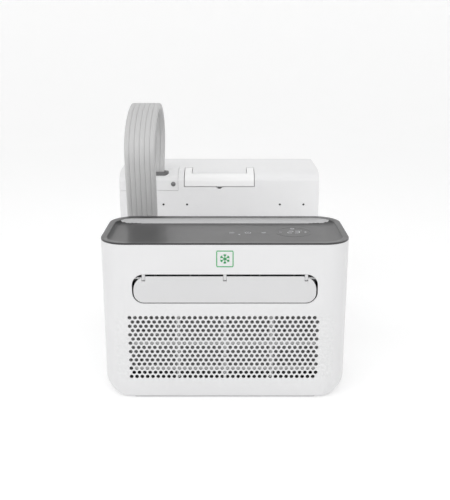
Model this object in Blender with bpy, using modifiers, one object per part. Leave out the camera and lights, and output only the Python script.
"""Portable split air conditioner: an indoor unit, an outdoor unit and the flat hose between them.

The indoor unit stands at the front (-Y), the outdoor unit behind it. The frame's origin is on the floor,
in the middle of both units' outline. Each unit is modelled about its own centre line and hangs from its
own empty.
"""

import math

import bmesh
import bpy
from mathutils import Matrix, Vector

MM = 0.001

# Driving dimensions of the indoor unit
INDOOR_WIDTH = 430 * MM
INDOOR_DEPTH = 194 * MM
INDOOR_HEIGHT = 287 * MM
INDOOR_CORNER = 46 * MM  # plan radius of the four upright corners
INDOOR_HEEL = 28 * MM  # radius between the walls and the underside
INDOOR_SEAM = 40 * MM  # the front casing ends this far behind the unit's middle

# Driving dimensions of the outdoor unit
OUTDOOR_WIDTH = 430 * MM
OUTDOOR_DEPTH = 176 * MM
OUTDOOR_HEIGHT = 338 * MM
SHOULDER_RUN = 50 * MM  # how far the front top edge curves back
SHOULDER_RISE = 20 * MM  # and how far it curves up

# How the two units stand
UNIT_GAP = 187 * MM
SIDE_SHIFT = 12 * MM  # the outdoor unit stands this far to the left

# Walls, gaps and fits
WALL = 2.5 * MM
GAP = 0.3 * MM  # between pieces that touch
RUNNING = 0.15 * MM  # radial room of a pin in its bore
SEAM_GAP = 0.5 * MM

# Indoor top panel
RIM_HEIGHT = 2.4 * MM
RIM_WIDTH = 11 * MM
REAR_RIM_WIDTH = 21 * MM
DISH_DEPTH = 8 * MM
DISH_SIDE_RUN = 29 * MM
DISH_REAR_RUN = 9 * MM
PANEL_SKIRT = 12 * MM

# Control board under the top panel
BOARD_SIZE = (150 * MM, 46 * MM, 1.6 * MM)
BOARD_DROP = 18.8 * MM  # its underside below the unit's top
BOARD_PLACE = (78 * MM, -5 * MM)

# Air outlet, measured on the front face
OUTLET_WIDTH = 317.6 * MM
OUTLET_HEIGHT = 52.4 * MM
OUTLET_DROP = 81.6 * MM  # its middle below the unit's top
OUTLET_CORNER = 20 * MM
FLAP_SIDE_GAP = 2.4 * MM
FLAP_TOP_GAP = 3.5 * MM
FLAP_BOTTOM_GAP = 1.6 * MM
FLAP_THICKNESS = 2.8 * MM
FLAP_UPPER_CORNER = 24 * MM  # wide enough to turn past the outlet's own corners
HINGE_ROD_RADIUS = 1.8 * MM
FLAP_MOTOR_RADIUS = 12 * MM
FLAP_MOTOR_LENGTH = 10 * MM
FLAP_ROD_END = 7 * MM  # how deep the rod's bore in the motor is
HINGE_DROP = 4.5 * MM  # hinge axis below the flap's top edge
HINGE_SETBACK = 6 * MM  # hinge axis behind the front face
LUG_RADIUS = 3.8 * MM
LUG_ROOM = 0.5 * MM  # between a lug and the flap's notch
OUTLET_STEP = 2 * MM  # the duct behind the outlet is this much wider all round
LUG_WIDTH = 5 * MM
LUG_SPACING = 139 * MM
OUTLET_FRAME_WALL = 4 * MM
OUTLET_FRAME_DEPTH = 44 * MM

# Upright vanes in the outlet and their link
VANE_COUNT = 5
VANE_SPACING = 60 * MM
VANE_THICKNESS = 1.6 * MM
VANE_FRONT = 11 * MM  # vane in front of its pivot
VANE_REAR = 17 * MM  # and behind it
VANE_PIN_RADIUS = 1.5 * MM
VANE_PIVOT_SETBACK = 23 * MM  # pivot behind the front face
LINK_ARM = 14 * MM
LINK_PIN_RADIUS = 1.2 * MM
LINK_WIDTH = 8 * MM
LINK_SLOT = (3.6 * MM, 5.2 * MM)  # room for a vane's pin, across and along
LINK_THICKNESS = 3 * MM

# Air inlet
GRILLE_ROWS = 15
GRILLE_ROW_PITCH = 7.92 * MM
GRILLE_CENTRE_Z = 97.8 * MM
GRILLE_SLOT_HEIGHT = 5.2 * MM
GRILLE_WIDTH = 326 * MM
RIB_SPACING = 82 * MM
RIB_WIDTH = 6 * MM
RIB_DEPTH = 6 * MM
RIB_ROWS = (6, 12)  # the grille rows that a level rib lies behind, counted from the top row

# Filter
FILTER_SETBACK = 46.5 * MM  # front of the filter behind the front face
FILTER_THICKNESS = 4 * MM
FILTER_HEIGHT = 124 * MM
FILTER_BORDER = 6 * MM
FILTER_TAB = 46 * MM
MESH_THICKNESS = 0.8 * MM
RAIL_WALL = 1.8 * MM
RAIL_DEPTH = 2.2 * MM

# Evaporator and tray
COIL_THICKNESS = 25 * MM
COIL_HALF_LENGTH = 140 * MM
COIL_HEADROOM = 14.2 * MM  # between the evaporator's top and the outlet
COIL_BASE_Z = 35 * MM
COIL_SETBACK = 57 * MM
COIL_PASSES = 5
COIL_TUBE_RADIUS = 3.5 * MM
TRAY_WALL = 2 * MM
TRAY_HEIGHT = 11 * MM
TRAY_MARGIN = 8 * MM  # round the evaporator

# Cross-flow blower
ROTOR_RADIUS = 40 * MM
ROTOR_HALF_LENGTH = 148 * MM
ROTOR_COIL_GAP = 6.8 * MM  # between the rotor and the evaporator's upper rear edge
ROTOR_BLADES = 16
ROTOR_DISC = 3 * MM
BLADE_CHORD = 9 * MM
BLADE_THICKNESS = 1.4 * MM
SHAFT_RADIUS = 4 * MM
END_PLATE = 2.5 * MM
MOTOR_RADIUS = 34 * MM
MOTOR_LENGTH = 44 * MM
BEARING_RADIUS = 9 * MM
SCROLL_START_GAP = 9 * MM
SCROLL_GROWTH = 15 * MM
SCROLL_WALL = 2 * MM
SCROLL_BOARD_GAP = 6.2 * MM

# Feet
FOOT_STRIP_LENGTH = 320 * MM
FOOT_STRIP_WIDTH = 14 * MM
FOOT_STRIP_HEIGHT = 3 * MM
FOOT_RADIUS = 14 * MM
FOOT_HEIGHT = 8 * MM
FOOT_INSET = 34 * MM

# Flat hose
HOSE_WIDTH = 58 * MM
HOSE_THICKNESS = 12 * MM
HOSE_X = -159.5 * MM  # from the indoor unit's middle
HOSE_BEHIND = 18 * MM  # front strand behind the indoor unit
HOSE_EXIT = 18 * MM  # rear strand behind the outdoor unit's front face
HOSE_ROOM = 2 * MM  # round the hose, in the grommet
COVER_HEIGHT = 92 * MM
COVER_BASE_Z = 100 * MM
COVER_MARGIN = 9 * MM
COVER_CORNER = 8 * MM
COVER_WALL = 2.5 * MM

# The hose's middle line from the indoor unit's cover, over the gap, to the outdoor unit's plate: (y, z)
HOSE_ROUTE = [
    (-71.5, 150),
    (-71.5, 180),
    (-71.5, 215),
    (-73, 250),
    (-77.5, 290),
    (-84, 330),
    (-91, 370),
    (-95, 405),
    (-88, 431),
    (-64, 453),
    (-30, 469),
    (8, 479.5),
    (45, 483),
    (83, 478),
    (116, 465),
    (141, 444),
    (153, 418),
    (149, 395),
    (137, 374),
    (123, 355),
    (116.5, 338),
    (115.5, 322),
    (115.5, 304),
    (115.5, 285),
]

# Hose plate on the outdoor unit
PLATE_SIDE = 20.5 * MM  # plate to the right of its slot
PLATE_DROP = 40 * MM  # bottom edge of the plate below the unit's top
PLATE_RUN = 20 * MM
SLOT_MARGIN = 9 * MM
GROMMET_WALL = 1.8 * MM
SCREW_HEAD_RADIUS = 5 * MM
SCREW_HEAD_HEIGHT = 2.6 * MM
SCREW_SHANK_RADIUS = 2.4 * MM
SCREW_LENGTH = 12 * MM
SCREW_INSET = 10 * MM  # from the plate's right edge

# Carrying handle, let into the shoulder
HANDLE_WIDTH = 149 * MM
HANDLE_SPACE = 14.5 * MM  # between the hose plate and the handle
HANDLE_ARM = 15 * MM
HANDLE_GRIP_RUN = 16 * MM  # the grip reaches this far back over the shoulder
HANDLE_THICKNESS = 6 * MM
HANDLE_DROP = 31 * MM  # lower edge below the unit's top
HANDLE_RUN = 57 * MM  # pivot end behind the front face
HANDLE_GAP = 1.4 * MM
HANDLE_PIN_RADIUS = 1.8 * MM
HANDLE_EYE = 5.4 * MM  # radius of the arms' round ends
HANDLE_ROOM = 0.8 * MM  # below the arms
HOUSING_WALL = 3 * MM
NOTCH_RADIUS = 8.5 * MM
NOTCH_DROP = 4 * MM
NOTCH_DEPTH = 8 * MM

# Mains lead gland and drain plug on the indoor unit's back, as (radius, height) profiles
GLAND_SIDE = 80 * MM
GLAND_HEIGHT = 60 * MM
GLAND_PROFILE = ((0, 14), (5, 14), (6, 4), (10, 3), (10, 0), (0, 0))
PLUG_SIDE = 90 * MM
PLUG_HEIGHT = 48 * MM
PLUG_PROFILE = ((0, 6), (7, 6), (8, 5), (8, 2), (11, 2), (11, 0), (0, 0))

# Drain nozzle under the base pan
NOZZLE_FLANGE_RADIUS = 9 * MM
NOZZLE_FLANGE_BOTTOM = 6 * MM
NOZZLE_RADIUS = 6 * MM
NOZZLE_SHOULDER = 5 * MM
NOZZLE_BOTTOM = 1.5 * MM

# Refrigerant circuit in the outdoor unit
COMPRESSOR_Y = 10 * MM
COMPRESSOR_OFFSET = 4 * MM  # right of the middle between the side wall and the partition
COMPRESSOR_LIFT = 10 * MM
COMPRESSOR_DOME = 22 * MM
COMPRESSOR_PLATE = 84 * MM
COMPRESSOR_PLATE_THICKNESS = 4 * MM
ACCUMULATOR_HEIGHT = 118 * MM
ACCUMULATOR_DOME = 9 * MM
ACCUMULATOR_GAP = 5 * MM
ACCUMULATOR_Y = -60 * MM
ACCUMULATOR_LIFT = 40 * MM
DISCHARGE_DROP = 92 * MM  # the pipe's top run below the unit's top
COIL_SIDE_GAP = 8 * MM
COIL_WALL_GAP = 10 * MM
COIL_TOP_DROP = 32 * MM
PARTITION_TOP_DROP = 108 * MM
BRACKET_TOP_DROP = 40 * MM
MOTOR_GAP = 8 * MM

# Bracket holes on the outdoor unit's front face: distance from its middle, below its top
BRACKET_HOLES = (-121 * MM, -70 * MM, 131 * MM, 182 * MM)
BRACKET_DROP = 71 * MM
BRACKET_HOLE_RADIUS = 2.4 * MM

# Outdoor machinery
BASE_THICKNESS = 4 * MM
BASE_LIP = 12 * MM
FAN_X = 66 * MM
FAN_Z = 168 * MM
FAN_RADIUS = 104 * MM
FAN_HUB_RADIUS = 30 * MM
FAN_DEPTH = 26 * MM
FAN_BLADES = 5
FAN_CLEARANCE = 6 * MM
FAN_PITCH = math.radians(25)
FAN_BLADE = (80 * MM, 52 * MM, 3 * MM)  # along the radius, across, thick
FAN_Y = 62 * MM
FAN_SHAFT_RADIUS = 4 * MM
FAN_MOTOR_RADIUS = 36 * MM
FAN_MOTOR_LENGTH = 46 * MM
BRACKET_WIDTH = 40 * MM
BRACKET_THICKNESS = 3 * MM
SHROUD_WALL = 2.5 * MM
SHROUD_DEPTH = 38 * MM
GUARD_BULGE = 10 * MM
GUARD_RINGS = 5
GUARD_BAR = 3 * MM
GUARD_SPOKE = 2.4 * MM
GUARD_SPOKES = 8
GUARD_SIDES = 32
PARTITION_X = -76 * MM
PARTITION_THICKNESS = 1.5 * MM
CONDENSER_SETBACK = 46 * MM
CONDENSER_PASSES = 7
COMPRESSOR_RADIUS = 52 * MM
COMPRESSOR_HEIGHT = 176 * MM
COMPRESSOR_Z = 34 * MM
ACCUMULATOR_RADIUS = 19 * MM
PIPE_RADIUS = 4 * MM
VENT_COUNT = 11
VENT_PITCH = 20 * MM
VENT_HEIGHT = 6 * MM
VENT_LENGTH = 44 * MM
VENT_SETBACK = 34 * MM

# Places worked out from the driving dimensions
TOTAL_DEPTH = INDOOR_DEPTH + UNIT_GAP + OUTDOOR_DEPTH + GUARD_BULGE
LEFT_SIDE = min(-INDOOR_WIDTH / 2, -OUTDOOR_WIDTH / 2 - SIDE_SHIFT)
RIGHT_SIDE = max(INDOOR_WIDTH / 2, OUTDOOR_WIDTH / 2 - SIDE_SHIFT)
MIDDLE_X = (LEFT_SIDE + RIGHT_SIDE) / 2
INDOOR_ORIGIN = Vector((-MIDDLE_X, -TOTAL_DEPTH / 2 + INDOOR_DEPTH / 2, 0))
OUTDOOR_ORIGIN = Vector(
    (-MIDDLE_X - SIDE_SHIFT, TOTAL_DEPTH / 2 - GUARD_BULGE - OUTDOOR_DEPTH / 2, 0)
)

FRONT = -INDOOR_DEPTH / 2  # indoor unit's front face, in its own frame
REAR = INDOOR_DEPTH / 2
CASE_TOP = INDOOR_HEIGHT - RIM_HEIGHT - GAP
CASE_BASE = FOOT_STRIP_HEIGHT
OUTLET_CENTRE_Z = INDOOR_HEIGHT - OUTLET_DROP
OUTLET_TOP = OUTLET_CENTRE_Z + OUTLET_HEIGHT / 2
OUTLET_BOTTOM = OUTLET_CENTRE_Z - OUTLET_HEIGHT / 2
FLAP_TOP = OUTLET_TOP - FLAP_TOP_GAP
HINGE_Y = FRONT + HINGE_SETBACK
HINGE_Z = FLAP_TOP - HINGE_DROP
FRAME_FRONT = FRONT + WALL + GAP
FRAME_REAR = FRAME_FRONT + OUTLET_FRAME_DEPTH
VANE_Y = FRONT + VANE_PIVOT_SETBACK
VANE_XS = [(i - (VANE_COUNT - 1) / 2) * VANE_SPACING for i in range(VANE_COUNT)]
FILTER_Y = FRONT + FILTER_SETBACK + FILTER_THICKNESS / 2
FILTER_BASE_Z = GRILLE_CENTRE_Z - FILTER_HEIGHT / 2
FILTER_TOP = FILTER_BASE_Z + FILTER_HEIGHT
FILTER_DEPTH = FILTER_THICKNESS + GAP + MESH_THICKNESS  # the frame and the cloth behind it
RAIL_REAR = FILTER_Y - FILTER_THICKNESS / 2 + FILTER_DEPTH + SEAM_GAP + RAIL_WALL
COIL_TOP = OUTLET_BOTTOM - COIL_HEADROOM
COIL_REAR = FRONT + COIL_SETBACK + COIL_THICKNESS
BOARD_Z = INDOOR_HEIGHT - BOARD_DROP
SCROLL_REACH = ROTOR_RADIUS + SCROLL_START_GAP + SCROLL_GROWTH
ROTOR_Z = BOARD_Z - SCROLL_BOARD_GAP - SCROLL_WALL - SCROLL_REACH
ROTOR_Y = COIL_REAR + math.sqrt((ROTOR_RADIUS + ROTOR_COIL_GAP) ** 2 - (ROTOR_Z - COIL_TOP) ** 2)
SHAFT_END = ROTOR_HALF_LENGTH + 15 * MM
PLATE_INNER = ROTOR_HALF_LENGTH + 4.3 * MM  # inner face of the blower's end plates

OUT_FRONT = -OUTDOOR_DEPTH / 2
OUT_REAR = OUTDOOR_DEPTH / 2
OUT_BASE = FOOT_HEIGHT + GAP
PAN_TOP = OUT_BASE + BASE_THICKNESS + GAP
HANDLE_PIVOT_Y = OUT_FRONT + HANDLE_RUN - HANDLE_EYE
HANDLE_PIVOT_Z = OUTDOOR_HEIGHT - HANDLE_EYE
HOSE_LOCAL_X = HOSE_X + SIDE_SHIFT  # in the outdoor unit's frame
PLATE_LEFT = -OUTDOOR_WIDTH / 2
PLATE_RIGHT = HOSE_LOCAL_X + HOSE_WIDTH / 2 + SLOT_MARGIN + PLATE_SIDE
HANDLE_X = PLATE_RIGHT + HANDLE_SPACE + HANDLE_WIDTH / 2
HANDLE_DEPTH = 2 * HANDLE_EYE + HANDLE_ROOM  # of the pocket below the casing's surface
HOSE_EXIT_Y = OUT_FRONT + HOSE_EXIT

PARTS = None
CUTTERS = None


# ---------------------------------------------------------------- scene and materials


def clear_scene():
    """Removes whatever the file holds and makes the two collections."""
    global PARTS, CUTTERS
    for obj in list(bpy.data.objects):
        bpy.data.objects.remove(obj, do_unlink=True)
    PARTS = bpy.data.collections.new("split_air_conditioner")
    CUTTERS = bpy.data.collections.new("cutters")
    bpy.context.scene.collection.children.link(PARTS)
    bpy.context.scene.collection.children.link(CUTTERS)


def material(name, colour, roughness, metallic=0.0):
    """A Principled BSDF of one colour."""
    made = bpy.data.materials.get(name)
    if made is None:
        made = bpy.data.materials.new(name)
        made.use_nodes = True
        shader = made.node_tree.nodes["Principled BSDF"]
        shader.inputs["Base Color"].default_value = (*colour, 1)
        shader.inputs["Roughness"].default_value = roughness
        shader.inputs["Metallic"].default_value = metallic
        made.diffuse_color = (*colour, 1)
    return made


def white_plastic():
    return material("white_plastic", (0.84, 0.84, 0.84), 0.35)


def grey_plastic():
    return material("dark_grey_plastic", (0.15, 0.15, 0.155), 0.3)


def inner_plastic():
    return material("inner_grey_plastic", (0.42, 0.42, 0.43), 0.6)


def filter_plastic():
    return material("filter_plastic", (0.72, 0.72, 0.72), 0.55)


def mesh_fabric():
    return material("filter_fabric", (0.08, 0.08, 0.085), 0.9)


def rubber():
    return material("rubber", (0.06, 0.06, 0.06), 0.85)


def hose_rubber():
    return material("hose_rubber", (0.48, 0.48, 0.48), 0.6)


def steel():
    return material("zinc_steel", (0.6, 0.6, 0.6), 0.35, 1.0)


def fin_metal():
    return material("fin_aluminium", (0.75, 0.76, 0.78), 0.4, 1.0)


def copper():
    return material("copper_tube", (0.72, 0.38, 0.22), 0.3, 1.0)


def black_paint():
    return material("black_enamel", (0.03, 0.03, 0.03), 0.4)


def board_green():
    return material("circuit_board", (0.03, 0.18, 0.08), 0.5)


# ---------------------------------------------------------------- modelling helpers


def unit_empty(name, place):
    """The empty that one unit's pieces hang from."""
    empty = bpy.data.objects.new(name, None)
    empty.location = place
    PARTS.objects.link(empty)
    return empty


def object_of(name, mesh, place=(0, 0, 0), turn=(0, 0, 0)):
    obj = bpy.data.objects.new(name, mesh)
    obj.location = place
    obj.rotation_euler = turn
    PARTS.objects.link(obj)
    return obj


def mesh_of(name, bm):
    """Turns a bmesh into a mesh datablock and frees it."""
    mesh = bpy.data.meshes.new(name)
    bmesh.ops.recalc_face_normals(bm, faces=bm.faces)
    bm.to_mesh(mesh)
    bm.free()
    return mesh


def add_cube(bm, size, place):
    """One box in a bmesh."""
    made = bmesh.ops.create_cube(bm, size=1.0)
    bmesh.ops.scale(bm, vec=size, verts=made["verts"])
    bmesh.ops.translate(bm, vec=place, verts=made["verts"])


def box(name, size, place):
    """A box, by its size and the middle of it."""
    bm = bmesh.new()
    add_cube(bm, size, (0, 0, 0))
    return object_of(name, mesh_of(name, bm), place)


def span(name, low, high):
    """A box, by its lowest and highest corners."""
    low, high = Vector(low), Vector(high)
    return box(name, high - low, (low + high) / 2)


def boxes(name, sizes_and_places):
    """Several separate boxes in one object, for use as a cutter or to be joined."""
    bm = bmesh.new()
    for size, place in sizes_and_places:
        add_cube(bm, size, place)
    return object_of(name, mesh_of(name, bm))


def turn_for(axis):
    """The rotation that takes a piece made along Z onto an axis."""
    return {"X": (0, math.pi / 2, 0), "Y": (-math.pi / 2, 0, 0), "Z": (0, 0, 0)}[axis]


def cylinder(name, radius, length, place, axis="Z", sides=24):
    bm = bmesh.new()
    bmesh.ops.create_cone(
        bm, cap_ends=True, segments=sides, radius1=radius, radius2=radius, depth=length
    )
    return object_of(name, mesh_of(name, bm), place, turn_for(axis))


def cylinders(name, radius, length, places, axis="Z", sides=16):
    """Several separate cylinders in one object."""
    bm = bmesh.new()
    turn = Matrix.Rotation(math.pi / 2, 4, {"X": "Y", "Y": "X", "Z": "Z"}[axis])
    turn = turn if axis != "Z" else Matrix.Identity(4)
    for place in places:
        bmesh.ops.create_cone(
            bm,
            cap_ends=True,
            segments=sides,
            radius1=radius,
            radius2=radius,
            depth=length,
            matrix=Matrix.Translation(place) @ turn,
        )
    return object_of(name, mesh_of(name, bm))


def rounded_block(name, size, place, corner=0.0, bottom=0.0, top=0.0, segments=6):
    """A box standing on place, with rounded upright corners and rounded lower or upper edges."""
    bm = bmesh.new()
    add_cube(bm, size, (0, 0, size[2] / 2))
    upright = [e for e in bm.edges if e.verts[0].co.z != e.verts[1].co.z]
    bmesh.ops.bevel(
        bm, geom=upright, offset=corner, segments=segments, affect="EDGES", profile=0.5
    )
    for level, radius in ((0.0, bottom), (size[2], top)):
        if radius:
            rim = [
                e
                for e in bm.edges
                if all(abs(v.co.z - level) < 1e-6 for v in e.verts)
            ]
            bmesh.ops.bevel(
                bm, geom=rim, offset=radius, segments=4, affect="EDGES", profile=0.5
            )
    return object_of(name, mesh_of(name, bm), place)


def outline_plate(name, points, thickness, place=(0, 0, 0), turn=(0, 0, 0)):
    """A flat plate cut to an outline of (x, y) points, in its own XY plane."""
    curve = bpy.data.curves.new(name, "CURVE")
    curve.dimensions = "2D"
    curve.fill_mode = "BOTH"
    curve.extrude = thickness / 2
    spline = curve.splines.new("POLY")
    spline.points.add(len(points) - 1)
    for point, (x, y) in zip(spline.points, points):
        point.co = (x, y, 0, 1)
    spline.use_cyclic_u = True
    drawn = bpy.data.objects.new(name + "_drawn", curve)
    PARTS.objects.link(drawn)
    bpy.context.view_layer.update()
    graph = bpy.context.evaluated_depsgraph_get()
    mesh = bpy.data.meshes.new_from_object(drawn.evaluated_get(graph))
    bpy.data.objects.remove(drawn)
    bm = bmesh.new()
    bm.from_mesh(mesh)
    bmesh.ops.remove_doubles(bm, verts=bm.verts, dist=1e-6)
    return object_of(name, mesh_of(name, bm), place, turn)


def rounded_outline(width, height, radius, segments=6, centre=(0, 0), upper=None):
    """Corner arcs of a rounded rectangle, counter-clockwise; upper is the top corners' radius."""
    points = []
    for quarter, (sx, sy) in enumerate(((1, 1), (-1, 1), (-1, -1), (1, -1))):
        bend = upper if upper and sy > 0 else radius
        middle_x = centre[0] + sx * (width / 2 - bend)
        middle_y = centre[1] + sy * (height / 2 - bend)
        for step in range(segments + 1):
            angle = (quarter + step / segments) * math.pi / 2
            points.append((middle_x + bend * math.cos(angle), middle_y + bend * math.sin(angle)))
    return points


def solidify(obj, thickness, offset=-1.0):
    wall = obj.modifiers.new("Wall", "SOLIDIFY")
    wall.thickness = thickness
    wall.offset = offset
    wall.use_even_offset = True
    return wall


def strip(name, path, half_width, thickness, offset=-1.0):
    """A bent sheet: a path of (y, z) points carried along X, given a wall by Solidify."""
    bm = bmesh.new()
    rows = [
        [bm.verts.new((x, y, z)) for y, z in path] for x in (-half_width, half_width)
    ]
    for i in range(len(path) - 1):
        bm.faces.new((rows[0][i], rows[0][i + 1], rows[1][i + 1], rows[1][i]))
    obj = object_of(name, mesh_of(name, bm))
    solidify(obj, thickness, offset)
    return obj


def turned(name, profile, place, axis="Z", steps=24):
    """A solid turned from (radius, height) points that run down its outer side from the axis to the axis."""
    mesh = bpy.data.meshes.new(name)
    points = [(radius, 0, height) for radius, height in profile]
    mesh.from_pydata(points, [(i, i + 1) for i in range(len(points) - 1)], [])
    obj = object_of(name, mesh, place, turn_for(axis))
    screw = obj.modifiers.new("Turn", "SCREW")
    screw.steps = steps
    screw.render_steps = steps
    screw.use_merge_vertices = True
    screw.merge_threshold = 0.00001
    return obj


def tube(name, points, radius, resolution=2):
    """A round tube along points, with closed ends."""
    curve = bpy.data.curves.new(name, "CURVE")
    curve.dimensions = "3D"
    curve.bevel_depth = radius
    curve.bevel_resolution = resolution
    curve.use_fill_caps = True
    spline = curve.splines.new("POLY")
    spline.points.add(len(points) - 1)
    for point, place in zip(spline.points, points):
        point.co = (*place, 1)
    return object_of(name, curve)


def through(points, steps):
    """A smooth curve through points, by Catmull and Rom's rule, with steps points to each span."""
    points = [Vector(p) for p in points]
    ends = [2 * points[0] - points[1], *points, 2 * points[-1] - points[-2]]
    curve = []
    for a, b, c, d in zip(ends, ends[1:], ends[2:], ends[3:]):
        for step in range(steps):
            t = step / steps
            curve.append(
                0.5
                * (
                    2 * b
                    + (c - a) * t
                    + (2 * a - 5 * b + 4 * c - d) * t**2
                    + (3 * b - a - 3 * c + d) * t**3
                )
            )
    return [*curve, points[-1]]


def boolean(obj, other, operation):
    """Cuts or joins with another object, which is kept as a hidden helper."""
    modifier = obj.modifiers.new(operation.title(), "BOOLEAN")
    modifier.operation = operation
    modifier.object = other
    if other.name in PARTS.objects:
        PARTS.objects.unlink(other)
        CUTTERS.objects.link(other)
    other.hide_render = True
    other.display_type = "WIRE"
    return obj


def cut(obj, *cutters):
    for cutter in cutters:
        boolean(obj, cutter, "DIFFERENCE")
    return obj


def join(obj, *others):
    for other in others:
        boolean(obj, other, "UNION")
    return obj


def keep_inside(obj, region):
    return boolean(obj, region, "INTERSECT")


def use_manifold(obj):
    """Changes the solver of a piece's cuts, where the exact one leaves open edges at some sizes."""
    for modifier in obj.modifiers:
        modifier.solver = "MANIFOLD"


def finish(obj, unit, finish_material, smooth=True):
    """Hangs a finished piece and its helpers from its unit's empty and gives it its material."""
    pieces = [obj]
    while pieces:
        piece = pieces.pop()
        if piece.parent is None:
            piece.parent = unit
        pieces += [
            m.object
            for m in piece.modifiers
            if m.type == "BOOLEAN" and m.object.parent is None
        ]
    obj.data.materials.clear()
    obj.data.materials.append(finish_material)
    if smooth and obj.type == "MESH" and obj.data.polygons:
        obj.data.shade_smooth()
        obj.data.set_sharp_from_angle(angle=math.radians(35))
    return obj


def side_profile(name, points, width, middle=0.0):
    """A solid of one (y, z) outline carried along X."""
    return outline_plate(
        name, points, width, (middle, 0, 0), (math.pi / 2, 0, math.pi / 2)
    )


def front_plate(name, points, thickness, middle_y, middle_z=0.0):
    """A plate of one (x, z) outline, facing front."""
    return outline_plate(
        name, points, thickness, (0, middle_y, middle_z), (math.pi / 2, 0, 0)
    )


def closed_loft(name, rings):
    """A solid between rings of equal point count, with a flat cap on the first and the last."""
    bm = bmesh.new()
    rows = [[bm.verts.new(point) for point in ring] for ring in rings]
    count = len(rows[0])
    for upper, lower in zip(rows, rows[1:]):
        for i in range(count):
            j = (i + 1) % count
            bm.faces.new((upper[i], upper[j], lower[j], lower[i]))
    bm.faces.new(rows[0])
    bm.faces.new(rows[-1])
    return object_of(name, mesh_of(name, bm))


# ---------------------------------------------------------------- indoor unit: casing


def indoor_solid(name, inset, top):
    """The indoor unit's outer form, or a smaller one that lies inset within it."""
    base = CASE_BASE + inset
    return rounded_block(
        name,
        (INDOOR_WIDTH - 2 * inset, INDOOR_DEPTH - 2 * inset, top - base),
        (0, 0, base),
        corner=INDOOR_CORNER - inset,
        bottom=INDOOR_HEEL - inset,
    )


def casing_half(name, low_y, high_y):
    """The part of the indoor casing between two planes across its depth."""
    shell = indoor_solid(name, 0.0, CASE_TOP)
    cut(shell, indoor_solid(name + "_hollow", WALL, CASE_TOP + WALL))
    region = span(
        name + "_region",
        (-INDOOR_WIDTH, low_y, -WALL),
        (INDOOR_WIDTH, high_y, INDOOR_HEIGHT + WALL),
    )
    return keep_inside(shell, region)


def grille_row_z(row):
    return GRILLE_CENTRE_Z + ((GRILLE_ROWS - 1) / 2 - row) * GRILLE_ROW_PITCH


def grille_slots():
    """The inlet's openings: one slot to each row and bay between the filter's upright ribs."""
    bay = RIB_SPACING - RIB_WIDTH
    places = [
        ((column - 1.5) * RIB_SPACING, FRONT, grille_row_z(row))
        for row in range(GRILLE_ROWS)
        for column in range(4)
    ]
    size = (bay, 4 * WALL, GRILLE_SLOT_HEIGHT)
    return boxes("grille_slots", [(size, place) for place in places])


def filter_opening(name, room):
    """The slot in the right wall that the filter slides through."""
    depth = FILTER_THICKNESS + GAP + MESH_THICKNESS
    return span(
        name,
        (INDOOR_WIDTH / 2 - 2 * WALL, FILTER_Y - FILTER_THICKNESS / 2 - room, FILTER_BASE_Z - room),
        (
            INDOOR_WIDTH / 2 + WALL,
            FILTER_Y - FILTER_THICKNESS / 2 + depth + room,
            FILTER_BASE_Z + FILTER_HEIGHT + room,
        ),
    )


def make_front_casing(unit):
    casing = casing_half("indoor_front_casing", -INDOOR_DEPTH, INDOOR_SEAM)
    outlet = front_plate(
        "outlet_opening",
        rounded_outline(OUTLET_WIDTH, OUTLET_HEIGHT, OUTLET_CORNER),
        4 * WALL,
        FRONT,
        OUTLET_CENTRE_Z,
    )
    cut(casing, outlet, grille_slots(), filter_opening("filter_slot", SEAM_GAP))
    return finish(casing, unit, white_plastic())


def make_rear_casing(unit):
    casing = casing_half("indoor_rear_casing", INDOOR_SEAM + SEAM_GAP, INDOOR_DEPTH)
    return finish(casing, unit, white_plastic())


def dish_ring(step, steps):
    """One level ring of the dish: a quarter ellipse from the rim down to the floor."""
    angle = step / steps * math.pi / 2
    side = DISH_SIDE_RUN * (1 - math.cos(angle))
    end = DISH_REAR_RUN * (1 - math.cos(angle))
    front = FRONT + RIM_WIDTH + end
    rear = REAR - REAR_RIM_WIDTH - end
    corner = INDOOR_CORNER - RIM_WIDTH - end
    outline = rounded_outline(
        INDOOR_WIDTH - 2 * (RIM_WIDTH + side), rear - front, corner, 4, (0, (front + rear) / 2)
    )
    return [(x, y, INDOOR_HEIGHT - DISH_DEPTH * math.sin(angle)) for x, y in outline]


def make_top_panel(unit):
    """The dark tray that closes the indoor unit, with a skirt inside the casing's walls."""
    panel = rounded_block(
        "top_panel",
        (INDOOR_WIDTH, INDOOR_DEPTH, RIM_HEIGHT),
        (0, 0, INDOOR_HEIGHT - RIM_HEIGHT),
        corner=INDOOR_CORNER,
    )
    inset = WALL + GAP
    skirt = rounded_block(
        "panel_skirt",
        (INDOOR_WIDTH - 2 * inset, INDOOR_DEPTH - 2 * inset, PANEL_SKIRT + RIM_HEIGHT / 2),
        (0, 0, INDOOR_HEIGHT - RIM_HEIGHT - PANEL_SKIRT),
        corner=INDOOR_CORNER - inset,
    )
    inner = inset + WALL
    hollow = rounded_block(
        "panel_hollow",
        (
            INDOOR_WIDTH - 2 * inner,
            INDOOR_DEPTH - 2 * inner,
            PANEL_SKIRT + RIM_HEIGHT - DISH_DEPTH,
        ),
        (0, 0, INDOOR_HEIGHT - RIM_HEIGHT - PANEL_SKIRT - WALL),
        corner=INDOOR_CORNER - inner,
    )
    rings = [dish_ring(step, 5) for step in range(6)]
    rings.insert(0, [(x, y, z + WALL) for x, y, z in rings[0]])
    cut(join(panel, skirt), hollow, closed_loft("panel_dish", rings))
    return finish(panel, unit, grey_plastic())


def make_control_board(unit):
    board = box("control_board", BOARD_SIZE, (*BOARD_PLACE, BOARD_Z + BOARD_SIZE[2] / 2))
    return finish(board, unit, board_green(), smooth=False)


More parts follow.
